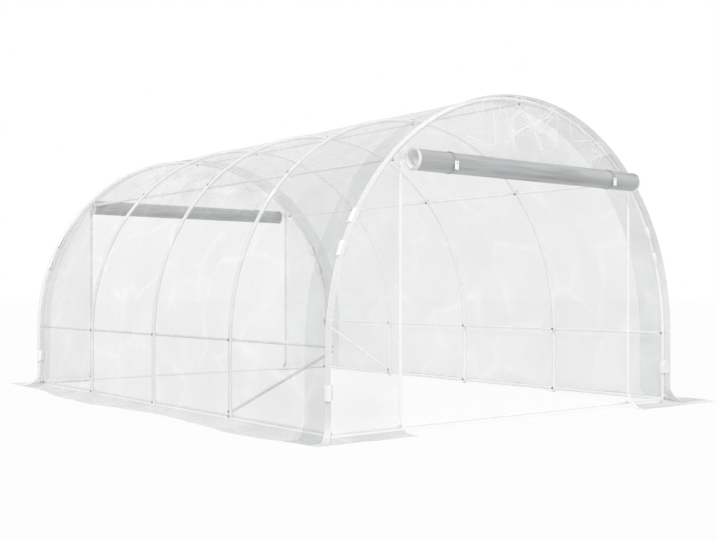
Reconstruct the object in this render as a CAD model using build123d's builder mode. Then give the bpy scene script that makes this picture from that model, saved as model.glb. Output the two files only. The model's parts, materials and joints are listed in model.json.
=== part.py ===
from build123d import *

import os
from math import cos, degrees, radians, sin, sqrt

# Walk-in polytunnel greenhouse: five steel tube hoops, their lengthwise bars and a clear film cover.
# Millimetres, +Z up. The origin is on the ground in the middle of the floor. The tunnel runs along Y,
# its front door faces -Y, and left and right are as seen from the front (-X and +X).

os.makedirs("parts", exist_ok=True)

# Hoops: straight legs that carry a half circle
hoop_span = 2980.0
leg_height = 500.0
hoop_tube = 25.0
bay_length = 1010.0
bay_count = 4

# Tube joints in a hoop: a reduced end slides into the next tube
joint_angle = 24.5
spigot_length = 60.0
spigot_diameter = 22.0
socket_diameter = 22.6
socket_spare = 2.0

# Bars: round tubes with flattened ends, bolted to the inside of the hoops
bar_tube = 19.0
lug_width = 24.0
lug_thickness = 3.0
lug_length = 24.0
lug_taper = 30.0
base_bar_height = 32.0
shoulder_angle = 45.0
brace_gap = 4.0

# Base bars across the ends: three tubes that plug together
end_bar_pieces = 3
end_spigot_length = 40.0
end_spigot_diameter = 15.0
end_socket_diameter = 15.6

# Film cover, which flares out at its foot and lies on the ground as a skirt
film = 1.5
cover_overhang = 50.0
flare_radius = 120.0
skirt_rise = 20.0
side_skirt_width = 300.0
end_skirt_width = 230.0
arc_segments = 4

# Doorways, their zips, and the door sheets rolled up over them
doorway_half_width = 1015.0
zip_width = 24.0
zip_thickness = 2.0
zip_end_margin = 90.0
roll_diameter = 128.0
roll_core = 92.0
roll_inset = 25.0
roll_drop = 8.0
roll_end_round = 5.0

# Ties round each roll, with a toggle in front
tie_offset = 715.0
tie_width = 25.0
tie_thickness = 1.5
toggle_width = 16.0
toggle_height = 46.0
toggle_thickness = 7.0

# White sleeves that hold the cover to the end hoops, and a clip on each leg
sleeve_length = 90.0
sleeve_thickness = 2.0
sleeve_angles = (20.7, 28.3)
apex_sleeve_offset = 100.0
clip_width = 56.0
clip_height = 91.0
clip_foot = 209.0

# A piece that seats on another stays this far off it
seat_gap = 0.3

# Sizes that follow from the driving dimensions
arch_radius = hoop_span / 2
tube_radius = hoop_tube / 2
bar_radius = bar_tube / 2
half_length = bay_count * bay_length / 2
hoop_positions = [-half_length + i * bay_length for i in range(bay_count + 1)]
film_inside = arch_radius + tube_radius + seat_gap
film_outside = film_inside + film
panel_inside = half_length + cover_overhang
panel_outside = panel_inside + film
skirt_top = flare_radius + skirt_rise
half_lug_step = (lug_thickness + seat_gap) / 2
bar_inset = tube_radius + seat_gap + lug_thickness / 2 + half_lug_step
taper_end = lug_length + lug_taper
zip_outer_edge = doorway_half_width + zip_width


def arch_height(x, radius):
    """Height of a half circle over the springing line, at a distance x from the tunnel's middle."""
    return leg_height + sqrt(radius**2 - x**2)


# A rolled door sheet hangs under the points where the doorway's edges meet the arch
doorway_height = arch_height(doorway_half_width, film_inside) - roll_drop - roll_diameter / 2


def write(piece, name):
    """Labels a finished sub-part and writes its STEP file."""
    piece.label = name
    export_step(piece, f"parts/{name}.step")


def arc_angle(length):
    """Degrees of a hoop's half circle that a length along its centre line takes up."""
    return degrees(length / arch_radius)


def hoop_plane(y):
    """The upright plane across the tunnel at y, with local X to the right and local Y up."""
    return Plane(origin=(0, y, 0), x_dir=(1, 0, 0), z_dir=(0, -1, 0))


def bend(y, start, size, diameter, mode=Mode.ADD):
    """Sweeps a round bar along a hoop's half circle, from angle start through size degrees."""
    with BuildLine(hoop_plane(y)) as run:
        CenterArc((0, leg_height), arch_radius, start, size)
    with BuildSketch(Plane(origin=run.line @ 0, z_dir=run.line % 0)) as section:
        Circle(diameter / 2)
    sweep(section.sketch, path=run.line, mode=mode)


# Hoops: two bent legs, and two arched tubes that meet at the apex
spigot_angle = arc_angle(spigot_length)
socket_angle = arc_angle(spigot_length + socket_spare)
apex_gap = arc_angle(seat_gap)

for number, y in enumerate(hoop_positions, start=1):
    with BuildPart() as legs:
        with BuildSketch(Plane(origin=(arch_radius, y, 0))):
            Circle(tube_radius)
        extrude(amount=leg_height)
        bend(y, 0, joint_angle, hoop_tube)
        bend(y, joint_angle, spigot_angle, spigot_diameter)
        mirror(about=Plane.YZ)
    write(legs.part, f"hoop_{number}_legs")

    with BuildPart() as arches:
        bend(y, joint_angle, 90 - joint_angle, hoop_tube)
        bend(y, joint_angle, socket_angle, socket_diameter, Mode.SUBTRACT)
        bend(y, 90, -socket_angle, socket_diameter, Mode.SUBTRACT)
        bend(y, 180 - joint_angle, joint_angle + apex_gap - 90, hoop_tube)
        bend(y, 180 - joint_angle, -socket_angle, socket_diameter, Mode.SUBTRACT)
        bend(y, 90 + apex_gap, -spigot_angle, spigot_diameter)
    write(arches.part, f"hoop_{number}_arches")


# Bars are drawn along their own local Z, with local Y pointing at the tube they bolt to
def flattened_end(base, along, lug_offset):
    """Adds a bar's flattened end: a taper from round to flat, then a lug round the bolt's centre."""
    with BuildSketch(Plane.XY.offset(base + along * taper_end)) as round_end:
        Circle(bar_radius)
    with BuildSketch(Plane.XY.offset(base + along * lug_length)) as flat_end:
        with Locations((0, lug_offset)):
            Ellipse(lug_width / 2, lug_thickness / 2)
    loft([round_end.sketch, flat_end.sketch])
    with BuildSketch(Plane(origin=(0, lug_offset, base), z_dir=(0, 1, 0), x_dir=(1, 0, 0))) as lug:
        Circle(lug_width / 2)
        with Locations((0, -along * lug_length / 2)):
            Rectangle(lug_width, lug_length)
    extrude(lug.sketch, amount=lug_thickness / 2, both=True)


def flattened_bar(length, start_lug, end_lug):
    """A bar between two bolt centres, with its flattened ends offset in local Y."""
    with BuildPart() as bar:
        with BuildSketch(Plane.XY.offset(taper_end)):
            Circle(bar_radius)
        extrude(amount=length - 2 * taper_end)
        flattened_end(0, 1, start_lug)
        flattened_end(length, -1, end_lug)
    return bar.part


def bar_plane(outward, foot, along):
    """Local frame of a bar that starts at foot, runs along one direction and faces outward."""
    return Plane(origin=foot, x_dir=outward.cross(along), z_dir=along)


# Rows of lengthwise bars, one bar to a bay, lapped where they meet at a hoop
bar_reach = arch_radius - bar_inset
bay_bar = flattened_bar(bay_length, half_lug_step, -half_lug_step)
last_bar = flattened_bar(bay_length, half_lug_step, half_lug_step)
bar_rows = {
    "ridge_bars": (90, leg_height),
    "shoulder_bars_right": (shoulder_angle, leg_height),
    "shoulder_bars_left": (180 - shoulder_angle, leg_height),
    "waist_bars_right": (0, leg_height),
    "waist_bars_left": (180, leg_height),
    "base_bars_right": (0, base_bar_height),
    "base_bars_left": (180, base_bar_height),
}
for name, (angle, centre_height) in bar_rows.items():
    outward = Vector(cos(radians(angle)), 0, sin(radians(angle)))
    row_start = Vector(0, 0, centre_height) + outward * bar_reach
    feet = [row_start + Vector(0, y, 0) for y in hoop_positions]
    with BuildPart() as row:
        with Locations(*[bar_plane(outward, foot, Vector(0, 1, 0)) for foot in feet[:-2]]):
            add(bay_bar)
        with Locations(bar_plane(outward, feet[-2], Vector(0, 1, 0))):
            add(last_bar)
    write(row.part, name)

# Diagonal braces: front bay on the left, rear bay on the right
brace_low = base_bar_height + lug_width + brace_gap
brace_high = leg_height - lug_width - brace_gap
brace_length = sqrt(bay_length**2 + (brace_high - brace_low) ** 2)
brace_bar = flattened_bar(brace_length, half_lug_step, half_lug_step)
brace_ends = {
    "brace_left": (-1, hoop_positions[1], hoop_positions[0]),
    "brace_right": (1, hoop_positions[-2], hoop_positions[-1]),
}
for name, (side, low_y, high_y) in brace_ends.items():
    climb = Vector(0, high_y - low_y, brace_high - brace_low).normalized()
    with BuildPart() as brace:
        with Locations(bar_plane(Vector(side, 0, 0), Vector(side * bar_reach, low_y, brace_low), climb)):
            add(brace_bar)
    write(brace.part, name)

# Base bars across the two ends, bolted to the outer faces of the end hoops' legs
piece_length = hoop_span / end_bar_pieces
with BuildPart() as outer_piece:
    with BuildSketch(Plane.XY.offset(taper_end)):
        Circle(bar_radius)
    extrude(amount=piece_length - taper_end)
    with BuildSketch(Plane.XY.offset(piece_length)):
        Circle(end_spigot_diameter / 2)
    extrude(amount=end_spigot_length)
    flattened_end(0, 1, -half_lug_step)

middle_end = hoop_span / 2 - piece_length - seat_gap
end_bar_inset = max(tube_radius, lug_width / 2) + seat_gap + lug_thickness / 2 + half_lug_step
with BuildPart() as middle_piece:
    with BuildSketch(Plane.XY.offset(-middle_end)):
        Circle(bar_radius)
    extrude(amount=2 * middle_end)
    for end in (-1, 1):
        with BuildSketch(Plane.XY.offset(end * middle_end)):
            Circle(end_socket_diameter / 2)
        extrude(amount=-end * (end_spigot_length + socket_spare), mode=Mode.SUBTRACT)

for name, end in (("base_bar_front", -1), ("base_bar_rear", 1)):
    end_bar_y = end * (half_length + end_bar_inset)
    with BuildPart() as end_bar:
        for side in (-1, 1):
            foot = Vector(side * arch_radius, end_bar_y, base_bar_height)
            with Locations(bar_plane(Vector(0, end, 0), foot, Vector(-side, 0, 0))):
                add(outer_piece.part)
        with Locations(Plane(origin=(0, end_bar_y, base_bar_height), z_dir=(1, 0, 0))):
            add(middle_piece.part)
    write(end_bar.part, name)

# Arched film over the hoops, in segments that meet on radial faces
segment_angle = 180 / arc_segments
segment_names = ("cover_haunch_right", "cover_crown_right", "cover_crown_left", "cover_haunch_left")
for index, name in enumerate(segment_names):
    with BuildPart() as segment:
        with BuildSketch(hoop_plane(-panel_outside)):
            with BuildLine():
                inner = CenterArc((0, leg_height), film_inside, index * segment_angle, segment_angle)
                outer = CenterArc((0, leg_height), film_outside, index * segment_angle, segment_angle)
                Line(inner @ 0, outer @ 0)
                Line(inner @ 1, outer @ 1)
            make_face()
        extrude(amount=-2 * panel_outside)
    write(segment.part, name)

# Upright film between the arch and the flare
for name, side in (("cover_wall_right", 1), ("cover_wall_left", -1)):
    with BuildPart() as wall:
        with BuildSketch(Plane(origin=(side * (film_inside + film / 2), 0, skirt_top))):
            Rectangle(film, 2 * panel_outside)
        extrude(amount=leg_height - skirt_top)
    write(wall.part, name)


def draped_profile(near, thickness, top, reach):
    """A strip that hangs down, flares outwards and lies on the ground.

    Local X is the way out from the film's inner face and local Y is up. The strip stands off that
    face by near.
    """
    far = near + thickness
    with BuildSketch(mode=Mode.PRIVATE) as profile:
        with BuildLine():
            under = CenterArc((flare_radius, flare_radius), flare_radius - near, 180, 90)
            over = CenterArc((flare_radius, flare_radius), flare_radius - far, 180, 90)
            Polyline(under @ 0, (near, top), (far, top), over @ 0)
            Polyline(under @ 1, (reach, near), (reach, far), over @ 1)
        make_face()
    return profile.sketch


# Skirts: flared all round and mitred at the corners, with none across the doorways
corner = Vector(film_inside, -panel_inside, 0)
front_mitre = Plane(origin=corner, z_dir=(1, 1, 0))
rear_mitre = Plane(origin=(film_inside, panel_inside, 0), z_dir=(1, -1, 0))
skirt_end = panel_inside + end_skirt_width

with BuildPart() as skirt_right:
    with BuildSketch(Plane(origin=(film_inside, -skirt_end, 0), x_dir=(1, 0, 0), z_dir=(0, -1, 0))):
        add(draped_profile(0, film, skirt_top, side_skirt_width))
    extrude(amount=-2 * skirt_end)
    split(bisect_by=front_mitre, keep=Keep.TOP)
    split(bisect_by=rear_mitre, keep=Keep.TOP)
write(skirt_right.part, "skirt_right")

with BuildPart() as skirt_left:
    mirror(skirt_right.part, about=Plane.YZ)
write(skirt_left.part, "skirt_left")

# What lies in front of an end panel is drawn outwards from its inner face and runs along +X
front_face = Plane(origin=(doorway_half_width, -panel_inside, 0), x_dir=(0, -1, 0), z_dir=(-1, 0, 0))

with BuildPart() as front_skirts:
    with BuildSketch(front_face):
        add(draped_profile(0, film, skirt_top, end_skirt_width))
    extrude(amount=doorway_half_width - film_inside - end_skirt_width)
    split(bisect_by=front_mitre, keep=Keep.BOTTOM)
    mirror(about=Plane.YZ)
write(front_skirts.part, "front_skirts")

with BuildPart() as rear_skirts:
    mirror(front_skirts.part, about=Plane.XZ)
write(rear_skirts.part, "rear_skirts")

# Zips down both sides of each doorway, curving out over the skirt
zip_top = arch_height(zip_outer_edge, film_inside)
with BuildPart() as front_zips:
    with BuildSketch(front_face):
        add(draped_profile(film, zip_thickness, zip_top, end_skirt_width - zip_end_margin))
    extrude(amount=-zip_width)
    mirror(about=Plane.YZ)
write(front_zips.part, "front_zips")

with BuildPart() as rear_zips:
    mirror(front_zips.part, about=Plane.XZ)
write(rear_zips.part, "rear_zips")


def end_panel(low_x, high_x, low_z):
    """Flat film inside the arch at the front end, between two widths and above a height."""
    crown = leg_height + film_inside
    with BuildPart() as panel:
        with BuildSketch(hoop_plane(-panel_inside)):
            with Locations((0, leg_height)):
                Circle(film_inside)
            with Locations((0, leg_height / 2)):
                Rectangle(2 * film_inside, leg_height)
            with Locations(((low_x + high_x) / 2, (low_z + crown) / 2)):
                Rectangle(high_x - low_x, crown - low_z, mode=Mode.INTERSECT)
        extrude(amount=film)
    return panel.part


# End panels: film at the sides of each doorway and over it
end_panels = {
    "panel_left": end_panel(-film_inside, -doorway_half_width, skirt_top),
    "panel_right": end_panel(doorway_half_width, film_inside, skirt_top),
    "panel_top": end_panel(-doorway_half_width, doorway_half_width, doorway_height),
}
for name, panel in end_panels.items():
    write(panel, f"front_{name}")
    with BuildPart() as rear_panel:
        mirror(panel, about=Plane.XZ)
    write(rear_panel.part, f"rear_{name}")

# Door sheets, each rolled up and tied under its top panel
roll_room = max(seat_gap + tie_thickness, zip_thickness) + seat_gap
roll_half_length = doorway_half_width - roll_inset
roll_y = -(panel_outside + roll_room + roll_diameter / 2)
roll_centre = Vector(0, roll_y, doorway_height)
with BuildPart() as front_roll:
    with BuildSketch(Plane(origin=roll_centre, z_dir=(1, 0, 0))):
        Circle(roll_diameter / 2)
        Circle(roll_core / 2, mode=Mode.SUBTRACT)
    extrude(amount=roll_half_length, both=True)
    fillet(front_roll.edges().filter_by(GeomType.CIRCLE), radius=roll_end_round)
write(front_roll.part, "front_door_roll")

with BuildPart() as rear_roll:
    mirror(front_roll.part, about=Plane.XZ)
write(rear_roll.part, "rear_door_roll")

tie_inside = roll_diameter / 2 + seat_gap
tie_outside = tie_inside + tie_thickness
with BuildPart() as front_ties:
    for x in (-tie_offset, tie_offset):
        with BuildSketch(Plane(origin=roll_centre + Vector(x, 0, 0), z_dir=(1, 0, 0))):
            Circle(tie_outside)
            Circle(tie_inside, mode=Mode.SUBTRACT)
        extrude(amount=tie_width / 2, both=True)
        toggle_face = roll_centre + Vector(x, -(tie_inside + tie_outside) / 2, 0)
        with BuildSketch(Plane(origin=toggle_face, x_dir=(1, 0, 0), z_dir=(0, -1, 0))):
            RectangleRounded(toggle_width, toggle_height, toggle_width / 3)
        extrude(amount=toggle_thickness)
write(front_ties.part, "front_roll_ties")

with BuildPart() as rear_ties:
    mirror(front_ties.part, about=Plane.XZ)
write(rear_ties.part, "rear_roll_ties")

# Sleeves round an end hoop, open towards the film, beside its tube joints and its apex
sleeve_inside = tube_radius + seat_gap
sleeve_outside = sleeve_inside + sleeve_thickness
sleeve_angle = arc_angle(sleeve_length)
apex_sleeve_angle = 90 - arc_angle(apex_sleeve_offset)


def sleeve(y, middle):
    """Adds a sleeve on the hoop at y, centred on an angle of its half circle."""
    with BuildLine(hoop_plane(y)) as run:
        CenterArc((0, leg_height), arch_radius, middle - sleeve_angle / 2, sleeve_angle)
    outward = (run.line @ 0) - Vector(0, y, leg_height)
    section_plane = Plane(origin=run.line @ 0, x_dir=outward, z_dir=run.line % 0)
    with BuildSketch(section_plane) as section:
        Circle(sleeve_outside)
        Circle(sleeve_inside, mode=Mode.SUBTRACT)
        with Locations((tube_radius + sleeve_outside / 2, 0)):
            Rectangle(sleeve_outside, 2 * sleeve_outside, mode=Mode.SUBTRACT)
    sweep(section.sketch, path=run.line)


with BuildPart() as front_sleeves:
    for middle in (*sleeve_angles, apex_sleeve_angle):
        sleeve(-half_length, middle)
    with BuildSketch(Plane(origin=(film_outside, clip_width / 2 - panel_outside, clip_foot))):
        Rectangle(sleeve_thickness, clip_width, align=(Align.MIN, Align.CENTER))
    extrude(amount=clip_height)
    mirror(about=Plane.YZ)
write(front_sleeves.part, "front_cover_clips")

with BuildPart() as rear_sleeves:
    mirror(front_sleeves.part, about=Plane.XZ)
write(rear_sleeves.part, "rear_cover_clips")
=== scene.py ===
# %% [markdown]
# This lesson dresses a polytunnel greenhouse: five white steel hoops, thin bars between them, and
# a clear plastic cover with a rolled-up door at each end. The steel comes ready made from the CAD
# model and keeps its shape. Film is hard to draw as a solid, because it sags, creases and lies on
# the ground, so every stretch of it is made here as a sheet and takes the place of a plain CAD
# stretch.

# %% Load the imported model
import json
import random
from math import atan2, cos, exp, hypot, pi, radians, sin, sqrt, tan

import bmesh
import bpy
from mathutils import Matrix, Vector, noise


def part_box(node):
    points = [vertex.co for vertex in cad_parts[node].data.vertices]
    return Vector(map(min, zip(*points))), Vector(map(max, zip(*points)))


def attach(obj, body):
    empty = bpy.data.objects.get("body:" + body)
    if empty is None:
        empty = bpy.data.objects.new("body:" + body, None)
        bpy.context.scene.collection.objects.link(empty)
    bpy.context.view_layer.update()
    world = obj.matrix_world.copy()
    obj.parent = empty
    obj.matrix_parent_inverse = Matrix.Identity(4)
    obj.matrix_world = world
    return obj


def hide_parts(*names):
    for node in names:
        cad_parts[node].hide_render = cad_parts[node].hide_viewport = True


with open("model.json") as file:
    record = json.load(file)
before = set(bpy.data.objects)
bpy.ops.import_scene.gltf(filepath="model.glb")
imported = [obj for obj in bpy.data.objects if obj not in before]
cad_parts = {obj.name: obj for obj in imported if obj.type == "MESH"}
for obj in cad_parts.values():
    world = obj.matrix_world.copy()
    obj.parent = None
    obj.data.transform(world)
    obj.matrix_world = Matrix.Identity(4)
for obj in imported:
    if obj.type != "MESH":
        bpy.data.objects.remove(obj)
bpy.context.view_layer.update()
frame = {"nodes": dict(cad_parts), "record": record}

nodes = frame["nodes"]

# %% [markdown]
# The camera repeats the photo's view. The photo was taken level, with its horizon a little below
# the middle of the picture, so the camera is level too and the lens is shifted instead of tilted.
# That keeps upright lines upright. The numbers come from fitting the hoops' feet and tops to the
# picture.

# %% Camera at the photo's viewpoint
photo_width, photo_height = 716, 540
focal_pixels = 1033.0
horizon_row = 290.9
eye = Vector((-4.808, -6.469, 0.800))
turn_to_right = radians(38.35)

camera_data = bpy.data.cameras.new("camera")
camera = bpy.data.objects.new("camera", camera_data)
bpy.context.scene.collection.objects.link(camera)
camera_data.sensor_width = 36.0
camera_data.lens = camera_data.sensor_width * focal_pixels / photo_width
camera_data.shift_y = (horizon_row - photo_height / 2) / photo_width
camera.location = eye
camera.rotation_euler = (pi / 2, 0, -turn_to_right)
bpy.context.scene.camera = camera
print("lens", round(camera_data.lens, 2), "mm")

# %% [markdown]
# Every shader here is built of nodes. Two helpers make that short: one makes a node, and the other
# feeds its sockets, each with a constant or with the output of another node.

# %% Helpers for shaders
white = (1, 1, 1, 1)


def feed(tree, node, values):
    """Gives sockets of a node their values, which are constants or other nodes' outputs."""
    for socket, value in values.items():
        if isinstance(value, bpy.types.NodeSocket):
            tree.links.new(value, node.inputs[socket])
        else:
            node.inputs[socket].default_value = value


def add_node(tree, kind, values, **settings):
    """A new shader node with its settings made and its sockets fed."""
    node = tree.nodes.new(f"ShaderNode{kind}")
    for name, value in settings.items():
        setattr(node, name, value)
    feed(tree, node, values)
    return node


def times(tree, first, second):
    """The product of two values."""
    return add_node(tree, "Math", {0: first, 1: second}, operation="MULTIPLY").outputs[0]


def seen_directly(tree):
    """A value that is 1 for camera, glossy and transmission rays."""
    path = add_node(tree, "LightPath", {})
    total = path.outputs["Is Camera Ray"]
    for name in ("Is Glossy Ray", "Is Transmission Ray"):
        greater = add_node(tree, "Math", {0: total, 1: path.outputs[name]}, operation="MAXIMUM")
        total = greater.outputs[0]
    return total


# %% [markdown]
# A clear cover on a white ground is mostly seen by what it takes away from the white, so the light
# is soft and even. The world gives most of it. A wide sun from the front left adds a little
# direction. Camera, glossy and transmission rays see a plain white world, and other rays get the
# working light. Many films lie behind one another here, so rays may pass more see-through surfaces
# than by default.

# %% Light
sky_light = 0.64
sun_light = 1.45

scene = bpy.context.scene
scene.view_settings.view_transform = "Standard"
scene.cycles.transparent_max_bounces = 48

world = bpy.data.worlds.new("studio")
scene.world = world
world.use_nodes = True
tree = world.node_tree
tree.nodes.clear()
skies = [add_node(tree, "Background", {"Color": white, "Strength": strength})
         for strength in (sky_light, 1.0)]
values = {0: seen_directly(tree), 1: skies[0].outputs[0], 2: skies[1].outputs[0]}
add_node(tree, "OutputWorld", {0: add_node(tree, "MixShader", values).outputs[0]})

sun_data = bpy.data.lights.new("sun", "SUN")
sun_data.energy = sun_light
sun_data.angle = radians(14)
sun = bpy.data.objects.new("sun", sun_data)
sun.rotation_euler = (radians(38), radians(-14), radians(-20))
scene.collection.objects.link(sun)
print("sky", sky_light, "sun", sun_light)

# %% [markdown]
# The floor is part of the stage and not of the tunnel. It is almost white to the camera and still
# keeps a soft shadow: three quarters of what the camera sees there is plain white, and the rest is
# a matt surface that the light reaches.

# %% Floor
floor_white = 0.78
floor_size = 60.0

floor_mesh = bmesh.new()
bmesh.ops.create_grid(floor_mesh, x_segments=1, y_segments=1, size=floor_size)
floor_data = bpy.data.meshes.new("floor")
floor_mesh.to_mesh(floor_data)
floor_mesh.free()
floor = bpy.data.objects.new("floor", floor_data)
floor.location.z = -0.001
scene.collection.objects.link(floor)

floor_material = bpy.data.materials.new("studio_floor")
floor_material.use_nodes = True
tree = floor_material.node_tree
tree.nodes.clear()
matt = add_node(tree, "BsdfDiffuse", {"Color": (0.93, 0.93, 0.93, 1)})
plain = add_node(tree, "Emission", {"Color": white})
share = times(tree, seen_directly(tree), floor_white)
values = {0: share, 1: matt.outputs[0], 2: plain.outputs[0]}
add_node(tree, "OutputMaterial", {0: add_node(tree, "MixShader", values).outputs[0]})
floor_data.materials.append(floor_material)
print("floor", 2 * floor_size, "m wide")

# %% [markdown]
# Every finish is built from the same few steps: a noise in Object coordinates picks between two
# colours, another varies the roughness, and a third raises a small bump. Object coordinates keep
# the size of each pattern in metres.

# %% Helpers for finishes
def new_finish(name):
    """An empty material with a Principled shader: its tree, shader and coordinates."""
    material = bpy.data.materials.new(name)
    material.use_nodes = True
    tree = material.node_tree
    place = add_node(tree, "TexCoord", {}).outputs["Object"]
    return material, tree, tree.nodes["Principled BSDF"], place


def grain(tree, place, size, detail=3.0, stretch=(1, 1, 1), distortion=0.0):
    """Noise with features about size metres across, longer along an axis with a small stretch."""
    moved = add_node(tree, "Mapping", {"Scale": stretch, "Vector": place}).outputs[0]
    values = {"Vector": moved, "Scale": 1 / size, "Detail": detail, "Distortion": distortion}
    return add_node(tree, "TexNoise", values).outputs["Fac"]


def between(tree, factor, low, high, start=0.3, end=0.7):
    """A colour or value that runs from low to high as the factor goes from start to end."""
    ramp = add_node(tree, "ValToRGB", {"Fac": factor})
    stops = zip(ramp.color_ramp.elements, (start, end), (low, high))
    for element, position, value in stops:
        element.position = position
        colour = value if hasattr(value, "__len__") else (value, value, value)
        element.color = (*colour, 1)
    return ramp.outputs["Color"]


def mix_colour(tree, factor, first, second):
    """A colour mixed from two, each a constant or the output of another node."""
    values = {"Factor": factor, "A": first, "B": second}
    return add_node(tree, "Mix", values, data_type="RGBA").outputs["Result"]


def raise_bump(tree, shader, height, depth, strength=1.0, under=None):
    """Feeds a height in metres to the shader's normal, on top of another bump if one is given."""
    values = {"Distance": depth, "Strength": strength, "Height": height}
    if under is not None:
        values["Normal"] = under
    normal = add_node(tree, "Bump", values).outputs["Normal"]
    feed(tree, shader, {"Normal": normal})
    return normal


# %% [markdown]
# Three surfaces are plain: the coated steel of the tubes, the moulded plastic of sleeves and
# clips, and the dull zinc of the bolts. They differ in tone, in shine and in how fine their grain
# is. A thin coat layer gives the narrow highlight along each tube.

# %% Finish of the plain surfaces
def plain_finish(name, dark, pale, shine, sizes, bump, extra=None, detail=3.0):
    """A surface whose tone, roughness and bump come from noises of three sizes."""
    material, tree, shader, place = new_finish(name)
    tone = between(tree, grain(tree, place, sizes[0], detail), dark, pale)
    rough = between(tree, grain(tree, place, sizes[1]), *shine)
    feed(tree, shader, {"Base Color": tone, "Roughness": rough, **(extra or {})})
    raise_bump(tree, shader, grain(tree, place, sizes[2]), *bump)
    return material


coated_tube = plain_finish(
    "coated_tube", (0.91, 0.91, 0.92), (0.97, 0.97, 0.98), (0.30, 0.46), (0.12, 0.03, 0.0016),
    (0.0002, 0.35), {"Coat Weight": 0.08, "Coat Roughness": 0.2},
)
white_plastic = plain_finish(
    "white_plastic", (0.93, 0.93, 0.93), (0.98, 0.98, 0.98), (0.32, 0.48), (0.05, 0.02, 0.001),
    (0.0001, 0.4),
)
zinc_bolt = plain_finish(
    "zinc_bolt", (0.20, 0.20, 0.21), (0.42, 0.42, 0.43), (0.35, 0.6), (0.004, 0.003, 0.0008),
    (0.0001, 0.5), {"Metallic": 0.8}, detail=4,
)
print("plain finishes: coated tube, white plastic, zinc bolt")

# %% [markdown]
# Polyethylene film lets most of the light through and adds a thin haze, so its shader is a pale
# grey surface with a low alpha. One film on white is then a very light grey, and two are a little
# darker. Film that was packed tightly has flat facets between straight creases. Cells of a Voronoi
# texture darken each facet by its own amount, as painted shade for facets turned from the light,
# and the cells' edges draw the creases as thin pale lines of painted highlight. A noise shifts the
# cells first, so no two facets look alike, and a wide noise adds cloudy patches.

# %% Finish of the film
# Painted shade on the facets and painted highlight on the creases.
facet_shade = 0.80
crease_glint_tone = (0.97, 0.97, 0.98, 1)
crease_fade = 0.4
faint_share = 0.15


def facets(tree, place, size, wobble):
    """The random tone of each facet and the distance to its edge, from cells that a noise bends."""
    bend = add_node(tree, "TexNoise", {"Vector": place, "Scale": 0.7 / size, "Detail": 2.0})
    values = {0: bend.outputs["Color"], 1: (wobble, wobble, wobble), 2: place}
    bent = add_node(tree, "VectorMath", values, operation="MULTIPLY_ADD").outputs[0]
    values = {"Scale": 1 / size, "Vector": bent}
    cells = add_node(tree, "TexVoronoi", values, feature="F1")
    edges = add_node(tree, "TexVoronoi", values, feature="DISTANCE_TO_EDGE")
    return cells.outputs["Color"], edges.outputs["Distance"]


def film_finish(name, alpha, dark, pale, facet_size, crease_glint, facet_shade_depth,
                creases_above=-1.0, bump=0.6):
    """Dark-to-pale film with painted facet shade and crease highlights that fade below a height."""
    material, tree, shader, place = new_finish(name)
    cloud = grain(tree, place, 0.45, detail=4, distortion=0.5)
    haze = between(tree, cloud, dark, pale, 0.35, 0.70)
    tone, to_edge = facets(tree, place, facet_size, facet_size * 0.5)
    one_tone = add_node(tree, "SeparateColor", {0: tone}).outputs[0]
    # Painted highlight: the crease lines are paler.
    crease = between(tree, to_edge, crease_glint, 0.0, 0.0, 0.055)
    uneven = between(tree, grain(tree, place, 0.22, detail=3), 0.0, 1.0, 0.40, 0.62)
    values = {
        "Value": add_node(tree, "SeparateXYZ", {0: place}).outputs["Z"],
        "From Min": creases_above, "From Max": creases_above + crease_fade, "To Min": faint_share,
    }
    high_up = add_node(tree, "MapRange", values).outputs[0]
    # Painted shade: each facet is darker by its own random amount.
    facet = between(tree, one_tone, facet_shade_depth, 0.0, 0.0, 0.6)
    darker = (*(facet_shade * value for value in dark), 1)
    shaded = mix_colour(tree, times(tree, facet, high_up), haze, darker)
    crease_glint_share = times(tree, times(tree, crease, uneven), high_up)
    feed(tree, shader, {
        "Base Color": mix_colour(tree, crease_glint_share, shaded, crease_glint_tone),
        "Roughness": between(tree, grain(tree, place, 0.07, detail=4), 0.14, 0.34),
        "Alpha": alpha,
    })
    swells = grain(tree, place, 0.15, detail=4, distortion=0.8)
    soft = raise_bump(tree, shader, swells, 0.012, bump)
    raise_bump(tree, shader, between(tree, to_edge, 1.0, 0.0, 0.0, 0.08), 0.003, bump, soft)
    return material


film_looks = {
    # alpha, dark, pale, facet size, crease glint, facet shade depth, creases above, bump
    "clear_film": (0.25, (0.37, 0.38, 0.39), (0.57, 0.58, 0.59), 0.55, 0.5, 0.25),
    "creased_film": (0.24, (0.66, 0.67, 0.68), (0.94, 0.95, 0.96), 0.21, 1.0, 1.0, 1.3),
    "band_film": (0.22, (0.48, 0.49, 0.50), (0.64, 0.65, 0.66), 0.5, 0.5, 0.25),
    "skirt_film": (0.55, (0.50, 0.51, 0.52), (0.64, 0.65, 0.66), 0.3, 0.3, 0.3, -1.0, 0.12),
    # The hem's white is partly real hem and partly painted highlight over the end hoop.
    "hem_and_glint_film": (0.85, (0.93, 0.93, 0.94), (0.97, 0.97, 0.98), 0.2, 0.3, 0.1, -1.0, 0.12),
    # White strips of painted highlight along the folds.
    "fold_glint_white": (0.80, (0.94, 0.94, 0.95), (0.98, 0.98, 0.98), 0.2, 0.2, 0.0, -1.0, 0.1),
}
films = {name: film_finish(name, *look) for name, look in film_looks.items()}
print("films", *films)

# %% [markdown]
# A rolled door is many turns of the same film and no longer see-through. It is a mid grey with
# long faint streaks along the roll. Light comes into the open core from both ends, so the
# innermost turn is paler. The mesh carries how far along the sheet each point is.

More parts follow.
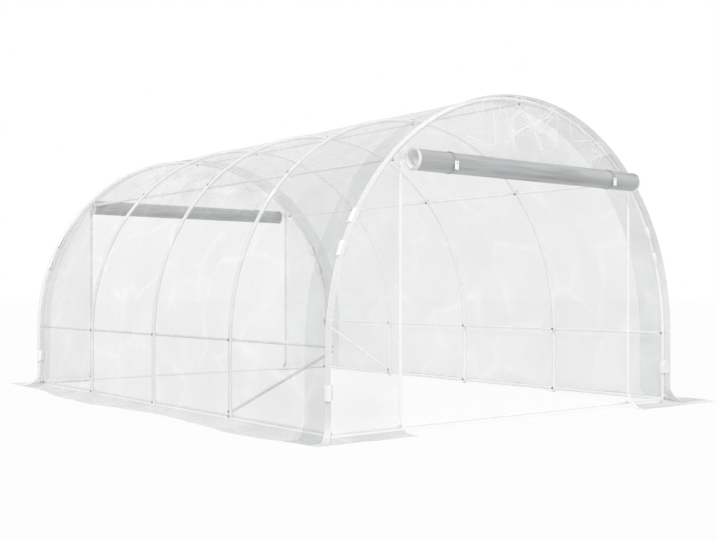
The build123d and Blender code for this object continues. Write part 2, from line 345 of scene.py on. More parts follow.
# %% Finish of the rolled doors
def rolled_finish():
    material, tree, shader, place = new_finish("rolled_film")
    streaks = grain(tree, place, 0.035, detail=5, stretch=(0.05, 1, 1), distortion=0.5)
    tone = between(tree, streaks, (0.33, 0.34, 0.345), (0.49, 0.50, 0.505), 0.35, 0.65)
    cloud = grain(tree, place, 0.3, detail=4, stretch=(0.6, 1, 2.5))
    patches = between(tree, cloud, 0.0, 0.55, 0.42, 0.62)
    outer = mix_colour(tree, patches, tone, (0.52, 0.53, 0.54, 1))
    along = add_node(tree, "Attribute", {}, attribute_name="along_sheet").outputs["Fac"]
    # Painted light: the innermost turn is painted paler, for the light that comes into the core.
    inner = between(tree, along, 0.0, 1.0, 0.72, 0.80)
    feed(tree, shader, {
        "Base Color": mix_colour(tree, inner, outer, (0.90, 0.90, 0.90, 1)),
        "Roughness": between(tree, streaks, 0.28, 0.48),
    })
    raise_bump(tree, shader, streaks, 0.003, 0.7)
    return material


# %% [markdown]
# Zip tapes and straps are woven polyester. A fine crossing of two wave textures stands for the
# weave, in the bump and a little in the colour.

# %% Finish of the tapes and straps
threads = 320.0


def woven_finish(name, dark, pale):
    material, tree, shader, place = new_finish(name)
    values = {"Scale": threads, "Distortion": 0.6, "Vector": place}
    waves = [add_node(tree, "TexWave", values, bands_direction=way) for way in ("X", "Z")]
    weave = times(tree, waves[0].outputs["Fac"], waves[1].outputs["Fac"])
    feed(tree, shader, {
        "Base Color": between(tree, weave, dark, pale, 0, 1),
        "Roughness": between(tree, grain(tree, place, 0.01), 0.6, 0.85),
        "Sheen Weight": 0.2,
    })
    raise_bump(tree, shader, weave, 0.0004, 0.7)
    return material


rolled_film = rolled_finish()
white_tape = woven_finish("white_tape", (0.92, 0.92, 0.92), (0.98, 0.98, 0.98))
tie_webbing = woven_finish("tie_webbing", (0.40, 0.41, 0.42), (0.50, 0.51, 0.52))
print("woven finishes", white_tape.name, tie_webbing.name)

# %% [markdown]
# The tubes, the zip tapes, the sleeves and the clips stay as CAD made them, and only get a finish.

# %% Dress the CAD nodes
def dress_nodes(names, material):
    """Gives CAD nodes a finish and leaves their shape alone."""
    for name in names:
        nodes[name].data.materials.clear()
        nodes[name].data.materials.append(material)
    return len(names)


subparts = frame["record"]["subparts"]
tube_nodes = [row["node"] for row in subparts if row["material_slot"] == "tube"]
dressed = dress_nodes(tube_nodes, coated_tube)
dressed += dress_nodes(["front_zips", "rear_zips"], white_tape)
dressed += dress_nodes(["front_cover_clips", "rear_cover_clips"], white_plastic)
print(dressed, "nodes keep their CAD shape")

# %% [markdown]
# All places come from the CAD model: the hoops give the arch and the bays, the plain film gives
# the cover's outline, and the doorway's panels give its width and height. The film of the real
# cover lies on the bolt heads, so it stands a few millimetres proud of the tubes.

# %% Sizes read from the frame
film_lift = 0.0025
flare_radius = 0.12

ends = (("front", -1), ("rear", 1))
hoop_boxes = [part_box(f"hoop_{number}_legs") for number in range(1, 6)]
hoop_rows = [(low.y + high.y) / 2 for low, high in hoop_boxes]
tube_width = hoop_boxes[0][1].y - hoop_boxes[0][0].y
arch_radius = hoop_boxes[0][1].x - tube_width / 2
bay = hoop_rows[1] - hoop_rows[0]
waist_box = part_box("waist_bars_right")
leg_height = (waist_box[0].z + waist_box[1].z) / 2
film_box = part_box("cover_haunch_right")
film_radius = film_box[1].x + film_lift
film_end = film_box[1].y
skirt_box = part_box("skirt_right")
side_reach = skirt_box[1].x - film_box[1].x
end_reach = skirt_box[1].y - film_end
top_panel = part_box("front_panel_top")
doorway_half = top_panel[1].x
doorway_top = top_panel[0].z
print("arch", round(arch_radius, 4), "bay", round(bay, 4))
print("doorway", round(2 * doorway_half, 3), "by", round(doorway_top, 3))

# %% [markdown]
# A sheet starts as a flat grid at its cut size, and each vertex is then moved to its place on the
# tunnel. This is how the cover is put on, and it keeps the cloth's area. Blender's own noise gives
# the same folds at each run.

# %% Helpers for sheets
skirt_faces_below = 0.03


def new_object(name, mesh, material):
    """Makes an object of a mesh and puts it in the scene."""
    data = bpy.data.meshes.new(name)
    mesh.to_mesh(data)
    mesh.free()
    data.materials.append(material)
    piece = bpy.data.objects.new(name, data)
    scene.collection.objects.link(piece)
    return piece


def add_grid(mesh, columns, rows):
    """The vertices of a flat grid, a metre square, that are then moved to their places."""
    return bmesh.ops.create_grid(mesh, x_segments=columns, y_segments=rows, size=0.5)["verts"]


def sheet_object(name, columns, rows, place_of, material):
    """A grid of quads whose vertices are moved by place_of(u, v), with u and v from 0 to 1."""
    mesh = bmesh.new()
    for vertex in add_grid(mesh, columns, rows):
        vertex.co = place_of(vertex.co.x + 0.5, vertex.co.y + 0.5)
    piece = new_object(name, mesh, material)
    piece.data.shade_smooth()
    return piece


def lay_skirt(piece):
    """Gives the stretch of a sheet that lies on the ground the thicker skirt's finish."""
    piece.data.materials.append(films["skirt_film"])
    for face in piece.data.polygons:
        if face.center.z < skirt_faces_below:
            face.material_index = 1


def face_outwards(piece, front):
    """Turns the faces over where front is 1, because the rear end's grids come out inside out."""
    if front > 0:
        mesh = bmesh.new()
        mesh.from_mesh(piece.data)
        bmesh.ops.reverse_faces(mesh, faces=mesh.faces)
        mesh.to_mesh(piece.data)
        mesh.free()


def shade(data, sharp_angle):
    """Smooth shading, except at edges that turn by more than sharp_angle degrees."""
    data.shade_smooth()
    data.set_sharp_from_angle(angle=radians(sharp_angle))


def thicken(piece, thickness):
    """Gives a sheet a real thickness, for trim that is seen from its edge."""
    mesh = bmesh.new()
    mesh.from_mesh(piece.data)
    bmesh.ops.solidify(mesh, geom=mesh.faces[:], thickness=thickness)
    bmesh.ops.recalc_face_normals(mesh, faces=mesh.faces)
    mesh.to_mesh(piece.data)
    mesh.free()
    shade(piece.data, 40)


def declare(piece, slot, *replaced):
    """Lets a piece ride on the tunnel. Film's haze would cast a heavy shadow, so film has none."""
    if "film" in slot:
        piece.visible_shadow = False
    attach(piece, "root")
    if replaced:
        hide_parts(*replaced)


def soft_noise(x, y, z, size):
    """Smooth noise from about -1 to 1 with features of about size metres."""
    return noise.noise(Vector((x, y, z)) / size)


def fold_noise(x, y, z, size):
    """Noise with sharp ridges, like creases in film, from 0 to 1."""
    return 1 - min(1.0, abs(soft_noise(x, y, z, size)) * 2.2)


# %% [markdown]
# The roof sheet is one piece from the skirt on the left, over the hoops, to the skirt on the
# right. It follows an arc, two upright walls and a flare, and the rest lies on the ground. Between
# two hoops it sags a little, most on top, and at the ends it stands out past the last hoop. The
# skirt's edge wanders, because nobody trims it: narrow on the left and wide on the right.

# %% Roof sheet
roof_columns, roof_rows = 236, 150
quarter = film_radius * pi / 2
wall = leg_height - flare_radius
flare = flare_radius * pi / 2
lying = side_reach - flare_radius
half_cut = quarter + wall + flare + lying
top_sag = 0.006
side_sag = 0.004
seam_rise = 0.007
wide_ripple, small_ripple = 0.0028, 0.0016
crease_depth = 0.0030
calm_below = 0.35
on_ground_below = 0.02
ground_gap = 0.0008
skirt_lift = 0.0012
roof_skirt_lump = 0.010
skirt_corner_run = 0.012


def end_edge(x, y):
    """How far the skirt of an end reaches past the cover at x."""
    if y >= 0:
        return 0.335 + 0.018 * soft_noise(x, 9, 7, 0.35)
    dent = 0.045 * exp(-(((x + 1.43) / 0.07) ** 2))
    return 0.142 - dent + 0.010 * soft_noise(x, 0, 7, 0.25)


def side_edge(x, y):
    """How far the skirt of a side reaches past the wall at y, the same all over each corner."""
    last = hoop_rows[-1] - skirt_corner_run
    y = max(-last, min(last, y))
    if x >= 0:
        swing = 0.022 * cos(2 * pi * (y + 1.80) / 2.3)
        return 0.352 + swing + 0.008 * soft_noise(5, y, 3, 0.3)
    narrow = 0.100 * max(0.0, min(1.0, (y - 1.1) / 0.9))
    swing = 0.047 * cos(2 * pi * (y + 1.356) / 1.9)
    return 0.217 - narrow + swing + 0.006 * soft_noise(0, y, 3, 0.3)


def skirt_lump(height, bumps, past):
    """How far a skirt lifts off the ground, which starts a little way out from the flare."""
    return height * max(0.0, bumps) * min(1.0, 6 * max(0.0, past - 0.10))


def bay_shape(y):
    """0 at each hoop and 1 midway between two."""
    if not hoop_rows[0] < y < hoop_rows[-1]:
        return 0.0
    share = ((y - hoop_rows[0]) / bay) % 1.0
    return 4 * share * (1 - share)


def past_hoop(y):
    """0 up to the last hoop and 1 at the cover's end."""
    return max(0.0, (abs(y) - hoop_rows[-1]) / (film_end - hoop_rows[-1]))


def roof_place(across, y, lift=0.0):
    """A point of the roof sheet, by its distance from the ridge and its place along the tunnel."""
    side = 1 if across >= 0 else -1
    run = abs(across)
    sag, past, past_end = side_sag, 0.0, 0.0
    if run < quarter:
        angle = run / film_radius
        out = Vector((sin(angle), cos(angle)))
        point = Vector((film_radius * out.x, leg_height + film_radius * out.y))
        sag += top_sag * max(0.0, cos(angle)) ** 1.5
    elif run < quarter + wall:
        out = Vector((1.0, 0.0))
        point = Vector((film_radius, leg_height - (run - quarter)))
    elif run < quarter + wall + flare:
        angle = (run - quarter - wall) / flare_radius
        out = Vector((cos(angle), sin(angle)))
        past = past_end = flare_radius * (1 - cos(angle))
        point = Vector((film_radius + past, flare_radius * (1 - sin(angle))))
        sag *= cos(angle)
    else:
        share = (run - quarter - wall - flare) / lying
        past = flare_radius + share * (side_edge(side, y) - flare_radius)
        past_end = flare_radius + share * (end_edge(side * film_radius, y) - flare_radius)
        out = Vector((0.0, 1.0))
        point = Vector((film_radius + past, 0.0))
        sag = 0.0
    along = y * (1 + past_end / film_end)
    x, z = side * point.x, point.y
    height = min(1.0, z / calm_below)
    swell = seam_rise * past_hoop(y) * height - sag * bay_shape(y)
    ease = 0.25 + 0.75 * bay_shape(y)
    ripple = wide_ripple * soft_noise(x * 1.6, y, z * 1.6, 0.42)
    ripple += small_ripple * soft_noise(x, y * 2, z, 0.13)
    crease = crease_depth * (fold_noise(x + 7, y, z, 0.62) - 0.5)
    swell += (ripple + crease) * ease * height + lift
    if z < on_ground_below:
        bumps = soft_noise(x * 1.5, along, 4, 0.21)
        swell += skirt_lift + skirt_lump(roof_skirt_lump, bumps, past)
    return Vector((x + side * out.x * swell, along, max(ground_gap, z + out.y * swell)))


def roof_sheet_place(u, v):
    return roof_place((2 * u - 1) * half_cut, (2 * v - 1) * film_end)


roof = sheet_object("cover_roof_sheet", roof_columns, roof_rows, roof_sheet_place,
                    films["clear_film"])
lay_skirt(roof)
declare(
    roof, "film", "cover_haunch_right", "cover_crown_right", "cover_crown_left",
    "cover_haunch_left", "cover_wall_right", "cover_wall_left", "skirt_right", "skirt_left",
)
print("roof sheet", len(roof.data.polygons), "quads")

# %% [markdown]
# An end sheet is the same film with a doorway cut in it. Its outer edge follows the arch, the
# walls and the mitred corner of the skirt, and its inner edge follows the doorway. A grid bent
# between those two edges has clean rows of quads all the way. The film is creased from its
# packing, most of all over the door, and it bellies out a little.

# %% End sheets
panel_rows = 22
side_columns, top_columns = 90, 84
end_lying = end_reach - flare_radius
end_arc = film_radius * pi
end_side = wall + flare + end_lying
end_cut = end_arc + 2 * end_side
belly_depth = 0.006
panel_fold, more_over_door = 0.004, 0.007
panel_ripple, ripple_over_door = 0.003, 0.004
creased_from, creased_rise = 1.5, 0.15
end_lap = 0.0012
end_skirt_lump = 0.009


def doorway_radius(angle):
    """Distance from the arch's centre to the doorway's edge, by angle above +X."""
    to_side = doorway_half / max(1e-6, abs(cos(angle)))
    to_top = (doorway_top - leg_height) / max(1e-6, sin(angle))
    return min(to_side, to_top)


def end_place(front, run, across, lift=0.0):
    """A point of an end sheet: run goes up the right side and down the left, across inwards."""
    side = 1 if run < end_cut / 2 else -1
    climbed = run if side > 0 else end_cut - run
    past, free = 0.0, 1.0
    if climbed < end_lying + flare:
        if climbed < end_lying:
            share = 1 - climbed / end_lying
            past = flare_radius + share * (side_edge(side, front * film_end) - flare_radius)
            z = free = 0.0
        else:
            angle = (end_lying + flare - climbed) / flare_radius
            past = flare_radius * (1 - cos(angle))
            z = flare_radius * (1 - sin(angle))
            free = cos(angle)
        outer = film_radius + past
        x = side * (outer + (doorway_half - outer) * across)
        if climbed < end_lying:
            edge_x = side * min(film_radius, abs(x))
            past = flare_radius + share * (end_edge(edge_x, front) - flare_radius)
    elif climbed < end_side:
        z = climbed - end_lying - flare + flare_radius
        x = side * (film_radius + (doorway_half - film_radius) * across)
    else:
        angle = (run - end_side) / film_radius
        radius = film_radius + (doorway_radius(angle) - film_radius) * across
        x, z = radius * cos(angle), leg_height + radius * sin(angle)
    belly = belly_depth * (4 * across * (1 - across)) * free
    grip = max(0.0, min(1.0, 5 * across, 6 * (1 - across) - 0.4))
    over_door = max(0.0, min(1.0, (z - creased_from) / creased_rise))
    creases = panel_fold + more_over_door * over_door
    creases *= fold_noise(x, 3 * front, z, 0.30) - 0.35
    ripple = panel_ripple + ripple_over_door * over_door
    creases += ripple * soft_noise(x * 1.3, front, z, 0.12)
    swell = seam_rise * (1 - across) - end_lap + (belly + creases * free) * grip + lift
    y = film_end + past + swell * max(0.3, free)
    if z < on_ground_below:
        bumps = soft_noise(x * 1.4, front, 2, 0.2)
        z += skirt_lift + skirt_lump(end_skirt_lump, bumps, past)
    return Vector((x, front * y, max(ground_gap, z + lift * (1 - free))))


def add_end_sheet(name, front, start, stop, columns, replaced):
    """The stretch of an end sheet from start to stop, measured along its outer edge."""
    def place(u, v):
        return end_place(front, start + (stop - start) * u, v)

    piece = sheet_object(name, columns, panel_rows, place, films["creased_film"])
    lay_skirt(piece)
    face_outwards(piece, front)
    declare(piece, "film", *replaced)
    return piece


corner_angle = atan2(doorway_top - leg_height, doorway_half)
side_run = end_side + film_radius * corner_angle
for end, front in ends:
    parts = (
        ("right", 0, side_run, side_columns, [f"{end}_panel_right", f"{end}_skirts"]),
        ("top", side_run, end_cut - side_run, top_columns, [f"{end}_panel_top"]),
        ("left", end_cut - side_run, end_cut, side_columns, [f"{end}_panel_left"]),
    )
    for part, start, stop, columns, replaced in parts:
        sheet_name = f"{end}_film_{part}"
        add_end_sheet(sheet_name, front, start, stop, columns, replaced)

# %% [markdown]
# The end sheets turn the corner and lie under the roof sheet for a quarter of a metre, and that
# band is a little darker. Along the very end the two are welded into a white hem, from one corner
# of the skirt over the arch to the other. The hem is drawn wide enough to cover the end hoop, so
# its white is partly the real hem and partly a painted highlight of film draped over the tube. It
# is folded round the edge, so it shows inside and out. Both start as ribbons on the roof sheet's
# own surface, so they follow every sag and flare of it.

# %% Seams and bands
seam_rows, band_rows = 5, 20
seam_width = 0.058
seam_past = 0.0006
seam_lift = 0.0008
hem_inside = 0.0024
band_inner = 1.815
band_start = film_end - seam_lift
band_depth = 0.0010


def add_ribbon(name, front, start, width, depth, rows, film):
    """A ribbon depth below the roof sheet's surface, and width wide from start inwards."""
    def place(u, v):
        return roof_place((2 * u - 1) * half_cut, front * (start - v * width), -depth)

    piece = sheet_object(name, roof_columns, rows, place, films[film])
    if film == "band_film":
        lay_skirt(piece)
    face_outwards(piece, front)
    if film == "hem_and_glint_film":
        thicken(piece, -hem_inside - seam_lift)
    declare(piece, "film")
    return piece


# The hem is wide enough to cover the end hoop, where its white is partly painted highlight.
hem = (film_end + seam_past, seam_width, hem_inside, seam_rows, "hem_and_glint_film")
band = (band_start, band_start - band_inner, band_depth, band_rows, "band_film")
hems_and_glints = [add_ribbon(f"{end}_seam", front, *hem) for end, front in ends]
bands = [add_ribbon(f"{end}_band", front, *band) for end, front in ends]
print("hem", seam_width, "m wide, band", round(band_start - band_inner, 3), "m")

# %% [markdown]
# The top panels were folded up small for packing, and each fold catches the light as a sharp white
# line, which is painted here as a highlight. Folds meet in points, so a few points are drawn at
# random with a fixed seed, and several lines leave each one. A line is a narrow white strip of
# painted highlight that tapers to nothing at both ends and lies on the panel's surface.

# %% Painted highlights along the folds in the top panels
fold_points = 15
folds_each = 3
fold_columns = 14
fold_width = 0.0065
fold_lift = 0.0015
fold_reach = 0.75
fold_seed = 23


def panel_place(front, x, z, lift):
    """The point of an end sheet that lies at x and z, seen square on."""
    angle = atan2(z - leg_height, x)
    depth = film_radius - doorway_radius(angle)
    across = (film_radius - hypot(x, z - leg_height)) / depth
    run = end_side + film_radius * angle
    return end_place(front, run, max(0.02, min(0.98, across)), lift)


def add_fold_glints(name, front):
    """The painted highlights along the fold lines of one top panel, as one piece."""
    draw = random.Random(fold_seed)
    mesh = bmesh.new()
    for _ in range(fold_points):
        x = draw.uniform(-fold_reach, fold_reach)
        roof_z = leg_height + sqrt(film_radius**2 - x * x)
        z = doorway_top + 0.06 + (roof_z - doorway_top - 0.10) * draw.uniform(0.15, 0.75)
        turn = draw.uniform(0, pi)
        for number in range(folds_each):
            heading = turn + number * 2 * pi / folds_each + draw.uniform(-0.4, 0.4)
            length = draw.uniform(0.10, 0.36)
            bend = draw.uniform(-0.6, 0.6)
            width = fold_width * draw.uniform(0.5, 1.0)
            for vertex in add_grid(mesh, fold_columns, 1):
                run, beside = vertex.co.x + 0.5, vertex.co.y
                bearing = heading + bend * run
                way = Vector((cos(bearing), sin(bearing)))
                spot = Vector((x, z)) + length * run * way
                taper = (4 * run * (1 - run)) ** 0.5
                spot += Vector((-way.y, way.x)) * beside * width * taper
                vertex.co = panel_place(front, spot.x, spot.y, fold_lift)
    bmesh.ops.dissolve_degenerate(mesh, edges=mesh.edges, dist=0.0001)
    # The fold strips are white as a painted highlight.
    piece = new_object(name, mesh, films["fold_glint_white"])
    face_outwards(piece, front)
    declare(piece, "film")
    return piece


fold_glints = {end: add_fold_glints(f"{end}_folds", front) for end, front in ends}
print("fold_glints", fold_points * folds_each, "in each top panel")

# %% [markdown]
# End panels are cut to the arch, so their areas are worked out: a slice of the circle, less the
# doorway's part of it.

side_area = film_radius**2 * corner_angle / 2 - doorway_half**2 * tan(corner_angle) / 2
side_area += (film_radius - doorway_half) * wall
side_area += (film_radius + end_reach / 2 - doorway_half) * (end_side - wall)
top_area = film_radius**2 * (pi / 2 - corner_angle)
top_area -= doorway_half * (doorway_top - leg_height)

# %% [markdown]
# Each door is rolled up on the outside of its end and hangs from the top panel. It is one sheet
# wound in a spiral round an open core: it comes down off the panel, passes under the roll and goes
# round four times. One small noise moves all the turns, so they never meet. White zip tape edges
# the sheet at both ends, which shows as a white ring.

# %% Rolled doors
door_columns, door_rows = 64, 190
strap_width = 0.025
roll_low, roll_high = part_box("front_door_roll")
roll_radius = (roll_high.z - roll_low.z) / 2
roll_z = (roll_high.z + roll_low.z) / 2
roll_y = (roll_high.y + roll_low.y) / 2
roll_half = roll_high.x
tie_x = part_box("front_roll_ties")[1].x - strap_width / 2
turns = 4.35
turn_gap = 0.0038
lead = 0.035
spiral = 2 * pi * turns
spiral_length = spiral * (roll_radius - turn_gap * turns / 2)
door_length = lead + spiral_length
door_inset = 0.0006
unevenness = 0.0011
tie_grip = 0.04
tape_columns = 4
tape_width = 0.012
tape_thickness = 0.0026
tape_past = 0.003
tape_lift = 0.0005
tape_flare = 0.0030


def roll_place(front, x, run, lift=0.0):
    """A point of a door sheet at x, by its distance run along the sheet from the top panel."""
    if run < lead:
        y = roll_radius - door_inset + lift
        z = (lead - run) * (1 - 0.15 * (run / lead))
    else:
        angle = (run - lead) / spiral_length * spiral
        bumps = soft_noise(x * 0.7, 3 * cos(angle), 3 * sin(angle), 0.3)
        tied = exp(-(((abs(x) - tie_x) / tie_grip) ** 2))
        uneven = unevenness * (bumps - 1) * min(1.0, (run - lead) / 0.05) * (1 - tied)
        radius = roll_radius - door_inset - turn_gap * angle / (2 * pi) + uneven + lift
        y, z = radius * cos(angle), -radius * sin(angle)
    return Vector((x, -front * (roll_y + y), roll_z + z))


def add_door(end, front):
    """The rolled door of one end, with a tape along both of its sides."""
    def sheet_place(u, v):
        return roll_place(front, (2 * u - 1) * roll_half, v * door_length)

    door = sheet_object(f"{end}_rolled_door", door_columns, door_rows, sheet_place, rolled_film)
    along = door.data.attributes.new("along_sheet", "FLOAT", "POINT")
    for number in range(len(door.data.vertices)):
        along.data[number].value = number // (door_columns + 1) / door_rows
    for side, word in ((-1, "left"), (1, "right")):
        def tape_place(u, v, side=side):
            x = side * (roll_half - tape_width * (1 - u) + tape_past)
            return roll_place(front, x, v * door_length, tape_lift + tape_flare * u * u)

        tape_name = f"{end}_door_tape_{word}"
        tape = sheet_object(tape_name, tape_columns, door_rows, tape_place, white_tape)
        thicken(tape, tape_thickness)
        declare(tape, "white_plastic")
    declare(door, "rolled_film", f"{end}_door_roll")


for end, front in ends:
    add_door(end, front)
print("door sheet", round(2 * roll_half, 2), "by", round(door_length, 2), "m,", turns, "turns")

# %% [markdown]
# Two straps hold up each roll. A strap is flat webbing that goes round the roll: a grid wrapped
# into a band, whose two edges bite into the soft roll. In front it ends in a white tab with a
# press stud.

# %% Roll ties
strap_thick = 0.0007
strap_bite = 0.0003
strap_edge_bite = 0.0016
tab_size = Vector((0.030, 0.0035, 0.050))
tab_rounding = 0.0014
tab_drop = 0.020
stud_radius = 0.0042
stud_flatness = 0.45
stud_drop = 0.008


def finished(name, mesh, material, sharp_angle, slot, *replaced):
    bmesh.ops.recalc_face_normals(mesh, faces=mesh.faces)
    piece = new_object(name, mesh, material)
    shade(piece.data, sharp_angle)
    declare(piece, slot, *replaced)


def round_edges(mesh, edges, width):
    """Takes the sharpness off edges, as a mould does."""
    bmesh.ops.bevel(mesh, geom=edges, offset=width, segments=2, profile=0.5,
                    affect="EDGES", material=-1)


def add_block(mesh, centre, size, rounding):
    """A box with rounded edges, as the start of small moulded parts."""
    block = bmesh.ops.create_cube(mesh, size=1.0)["verts"]
    bmesh.ops.scale(mesh, verts=block, vec=size)
    bmesh.ops.translate(mesh, verts=block, vec=centre)
    round_edges(mesh, list({edge for vertex in block for edge in vertex.link_edges}), rounding)


def add_strap(mesh, centre, radius):
    """A band of webbing round the X axis through centre, whose edges press into the roll."""
    band = add_grid(mesh, 10, 72)
    for vertex in band:
        across, angle = vertex.co.x, (vertex.co.y + 0.5) * 2 * pi
        height = radius + strap_thick - strap_edge_bite * (2 * across) ** 6
        y, z = height * cos(angle), height * sin(angle)
        vertex.co = centre + Vector((across * strap_width, y, z))
    bmesh.ops.remove_doubles(mesh, verts=band, dist=0.00001)


strap_radius = roll_radius - strap_bite
tab_face = strap_radius + strap_thick + tab_size.y / 2
for end, front in ends:
    straps, tabs, studs = bmesh.new(), bmesh.new(), bmesh.new()
    for x in (-tie_x, tie_x):
        centre = Vector((x, -front * roll_y, roll_z))
        add_strap(straps, centre, strap_radius)
        tab_centre = centre + Vector((0, front * tab_face, -tab_drop))
        add_block(tabs, tab_centre, tab_size, tab_rounding)
        stud_centre = centre + Vector((0, front * (tab_face + tab_size.y / 2), -stud_drop))
        stud_place = Matrix.Translation(stud_centre) @ Matrix.Rotation(front * -pi / 2, 4, "X")
        bmesh.ops.create_uvsphere(studs, u_segments=20, v_segments=10, radius=stud_radius,
                                  matrix=stud_place @ Matrix.Diagonal((1, 1, stud_flatness, 1)))
    finished(f"{end}_tie_straps", straps, tie_webbing, 180, "white_plastic", f"{end}_roll_ties")
    finished(f"{end}_tie_tabs", tabs, white_plastic, 40, "white_plastic")
    finished(f"{end}_tie_studs", studs, zinc_bolt, 60, "white_plastic")
print("straps at x =", round(tie_x, 3), "m either side")

# %% [markdown]
# Each doorway has a zip down both sides, and the CAD model has its tape. Up close a zip is a
# ribbed coil on that tape, and a slider with a pull. The coil is a narrow grid whose rows go up
# and down in turn, laid along the same path as the tape: straight down, round the flare and out
# over the skirt.

# %% Zips
coil_width = 0.007
coil_height = 0.0012
coil_rows = 760
coil_sunk = 0.6
coil_gap = 0.0001
tape_middle = 0.012
tape_depth = 0.002
zip_margin = 0.004
zip_low, zip_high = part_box("front_zips")
zip_x = zip_high.x - tape_middle
zip_top = zip_high.z
zip_face = film_box[1].y + tape_depth
zip_flare_radius = flare_radius - tape_depth
zip_straight = zip_top - zip_margin - flare_radius
zip_bend = zip_flare_radius * pi / 2
zip_lying = -zip_low.y - zip_face - flare_radius - zip_margin
zip_length = zip_straight + zip_bend + zip_lying
slider_back = zip_face + coil_height
slider_blocks = (
    # out from the coil, down from the zip's top, size, rounding: body, bridge and pull
    (0.0025, 0.072, (0.013, 0.005, 0.020), 0.0016),
    (0.0065, 0.070, (0.004, 0.004, 0.012), 0.001),
    (0.0075, 0.094, (0.009, 0.0016, 0.040), 0.0006),
)


def add_coils(end, front):
    """The ribbed coils of a doorway's two zips."""
    mesh = bmesh.new()
    for x in (-zip_x, zip_x):
        for vertex in add_grid(mesh, 4, coil_rows):
            across, down = vertex.co.x, vertex.co.y + 0.5
            run = down * zip_length
            tall = 1.0 if round(down * coil_rows) % 2 else coil_sunk
            crown = coil_gap + coil_height * (1 - (2 * across) ** 2) * tall
            if run < zip_straight:
                y, z = zip_face + crown, zip_top - zip_margin - run
            elif run < zip_straight + zip_bend:
                angle = (run - zip_straight) / zip_flare_radius
                radius = zip_flare_radius - crown
                y = zip_face + flare_radius - radius * cos(angle)
                z = flare_radius - radius * sin(angle)
            else:
                y = zip_face + flare_radius + run - zip_straight - zip_bend
                z = tape_depth + crown
            vertex.co = Vector((x + across * coil_width, front * y, z))
    finished(f"{end}_zip_coils", mesh, white_plastic, 30, "white_plastic")


def add_sliders(end, front):
    """A slider with its pull, at the top of each zip."""
    mesh = bmesh.new()
    for x in (-zip_x, zip_x):
        for out, down, size, rounding in slider_blocks:
            centre = Vector((x, front * (slider_back + out), zip_top - down))
            add_block(mesh, centre, Vector(size), rounding)
    finished(f"{end}_zip_sliders", mesh, white_plastic, 40, "white_plastic")


for end, front in ends:
    add_coils(end, front)
    add_sliders(end, front)
print("zip coil", round(zip_length, 3), "m")

# %% [markdown]
# White clamps press the cover on to the end hoops: a pair at the apex, a pair at each plug joint
# and a wide one on each leg. A clamp is a thick sleeve round the tube inside, over the thin CAD
# sleeve, and a low arched plate that follows the film outside. The film is caught between the two.

# %% Cover clamps
clamp_length = 0.090
clamp_width = 0.038
clamp_rise = 0.0042
clamp_wall = 0.0018
clamp_gap = 0.0010
ring_radius = 0.0195
leg_ring_radius = 0.022
ring_length = clamp_length - 0.002
ring_rounding = 0.0025
leg_clamp_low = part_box("front_cover_clips")[0].z
leg_clamp_tall, leg_clamp_wide = 0.091, 0.056
leg_clamp_back = film_end - hoop_rows[-1] - leg_clamp_wide / 2
leg_clamp_run = quarter + leg_height - leg_clamp_low - leg_clamp_tall / 2
apex_clamp_run = 0.100
joint_clamp_angles = (20.7, 28.3)
clamp_runs = [apex_clamp_run]
clamp_runs += [radians(90 - angle) * film_radius for angle in joint_clamp_angles]


def aimed(position, direction):
    """A matrix at position whose Z axis points along direction."""
    turn = Vector(direction).to_track_quat("Z", "Y").to_matrix().to_4x4()
    return Matrix.Translation(position) @ turn


def add_ring(mesh, middle, direction, radius):
    """The inner part of a clamp, a short thick tube round the hoop with rounded rims."""
    ring = bmesh.ops.create_cone(mesh, cap_ends=True, segments=24, radius1=radius, radius2=radius,
                                 depth=ring_length, matrix=aimed(middle, direction))["verts"]
    caps = {face for vertex in ring for face in vertex.link_faces if len(face.verts) > 4}
    round_edges(mesh, [edge for face in caps for edge in face.edges], ring_rounding)


def add_clamp(mesh, middle, length, width, y):
    """An arched plate on the roof sheet, with its middle at a distance from the ridge."""
    plate = add_grid(mesh, 12, 12)
    faces = list({face for vertex in plate for face in vertex.link_faces})
    for vertex in plate:
        across, along = vertex.co.x, vertex.co.y
        corner = max(0.0, (2 * abs(across)) ** 8 + (2 * abs(along)) ** 8 - 1) * 0.06
        arch = clamp_rise * sqrt(max(0.0, 1 - (1.9 * along) ** 2))
        place = roof_place(middle + across * length * (1 - corner), y)
        run = middle + across * length
        out = roof_place(run, y, 1.0) - roof_place(run, y)
        place += Vector((0, along * width * (1 - corner), 0))
        vertex.co = place + out.normalized() * (clamp_gap + arch)
    bmesh.ops.recalc_face_normals(mesh, faces=faces)
    if sum((face.normal for face in faces), Vector()).dot(out) < 0:
        bmesh.ops.reverse_faces(mesh, faces=faces)
    bmesh.ops.solidify(mesh, geom=faces, thickness=-clamp_wall)


for (end, front), y in zip(ends, (hoop_rows[0], hoop_rows[-1])):
    mesh = bmesh.new()
    for side in (-1, 1):
        for run in clamp_runs:
            add_clamp(mesh, side * run, clamp_length, clamp_width, y)
            angle = run / film_radius
            x, z = side * arch_radius * sin(angle), leg_height + arch_radius * cos(angle)
            along_tube = (side * cos(angle), 0, -sin(angle))
            add_ring(mesh, Vector((x, y, z)), along_tube, ring_radius)
        leg_y = y + front * leg_clamp_back
        add_clamp(mesh, side * leg_clamp_run, leg_clamp_tall, leg_clamp_wide, leg_y)
        leg_middle = Vector((side * arch_radius, y, leg_height + quarter - leg_clamp_run))
        add_ring(mesh, leg_middle, (0, 0, 1), leg_ring_radius)
    finished(f"{end}_clamps", mesh, white_plastic, 50, "white_plastic")
print("clamps", 4 * (len(clamp_runs) + 1))

# %% [markdown]
# The bars' flattened ends are bolted through the hoops, with a low round head outside, where the
# film lies on it, and a nut inside. One bolt is built along Z from a cut sphere, two washers, a
# shank and a six-sided nut, and a matrix puts a copy at each joint, pointing outwards from its
# tube.

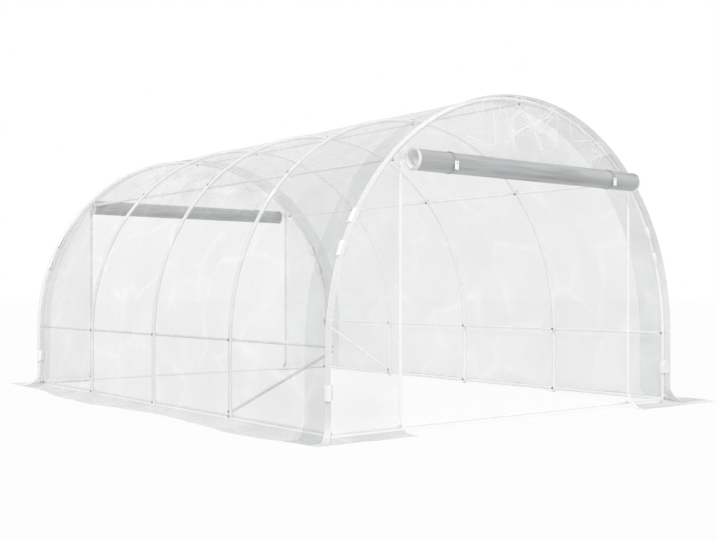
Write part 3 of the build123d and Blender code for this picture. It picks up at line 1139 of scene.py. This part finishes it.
# %% Bolts
tube_radius = tube_width / 2
head_radius = 0.0078
head_flatness = 0.34
through = 2 * tube_radius + 0.0072
shank = through + 0.010
bolt_rounds = (
    # segments, radius, depth and middle along Z: washer, shank, inner washer and nut
    (20, 0.0088, 0.0010, -0.0005),
    (12, 0.003, shank, -shank / 2),
    (20, 0.0080, 0.0012, -through - 0.0006),
    (6, 0.0060, 0.0050, -through - 0.0037),
)
hoop_head_gap = 0.0010
base_head_gap = 0.0035
brace_hole = 0.012


def add_bolt(mesh, place):
    """A bolt whose head sits at place's origin and whose nut is below the tube it goes through."""
    head = bmesh.ops.create_uvsphere(mesh, u_segments=16, v_segments=8, radius=head_radius,
                                     matrix=place @ Matrix.Diagonal((1, 1, head_flatness, 1)))
    body = {item for vertex in head["verts"]
            for item in (vertex, *vertex.link_edges, *vertex.link_faces)}
    cut = bmesh.ops.bisect_plane(mesh, geom=list(body), plane_co=place.translation,
                                 plane_no=place.to_3x3() @ Vector((0, 0, -1)), clear_outer=True)
    rim = [item for item in cut["geom_cut"] if isinstance(item, bmesh.types.BMEdge)]
    bmesh.ops.contextual_create(mesh, geom=rim)
    for segments, radius, depth, middle in bolt_rounds:
        bmesh.ops.create_cone(mesh, cap_ends=True, segments=segments, radius1=radius,
                              radius2=radius, depth=depth,
                              matrix=place @ Matrix.Translation((0, 0, middle)))


def add_bolts(name, spots):
    """One piece with a bolt at each spot, which is a position and the way that the head faces."""
    mesh = bmesh.new()
    for position, out in spots:
        add_bolt(mesh, aimed(position, out))
    finished(name, mesh, zinc_bolt, 35, "tube")


def hoop_joint(y, side, node, angle):
    """Where a bar's bolt leaves a hoop, and which way it points."""
    if angle is None:
        low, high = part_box(node)
        centre = Vector((side * arch_radius, y, (low.z + high.z) / 2))
        out = Vector((side, 0, 0))
    else:
        out = Vector((side * cos(angle), 0, sin(angle)))
        centre = Vector((0, y, leg_height)) + arch_radius * out
    return centre + (tube_radius + hoop_head_gap) * out, out


joints = [(1, "ridge_bars", pi / 2)]
for side, word in ((1, "right"), (-1, "left")):
    joints.append((side, f"shoulder_bars_{word}", pi / 4))
    joints.append((side, f"waist_bars_{word}", None))
    joints.append((side, f"base_bars_{word}", None))
for number, y in enumerate(hoop_rows, start=1):
    add_bolts(f"hoop_{number}_bolts", [hoop_joint(y, *joint) for joint in joints])

for node, high_row, low_row, side in (("brace_left", 0, 1, -1), ("brace_right", 4, 3, 1)):
    low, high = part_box(node)
    x = side * (arch_radius + tube_radius + hoop_head_gap)
    add_bolts(f"{node}_bolts", [
        (Vector((x, hoop_rows[high_row], high.z - brace_hole)), (side, 0, 0)),
        (Vector((x, hoop_rows[low_row], low.z + brace_hole)), (side, 0, 0)),
    ])

for end, front in ends:
    low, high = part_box(f"base_bar_{end}")
    y = front * (max(abs(low.y), abs(high.y)) - (high.z - low.z) / 2 + base_head_gap)
    z = (low.z + high.z) / 2
    spots = [(Vector((side * arch_radius, y, z)), (0, front, 0)) for side in (-1, 1)]
    add_bolts(f"{end}_base_bolts", spots)
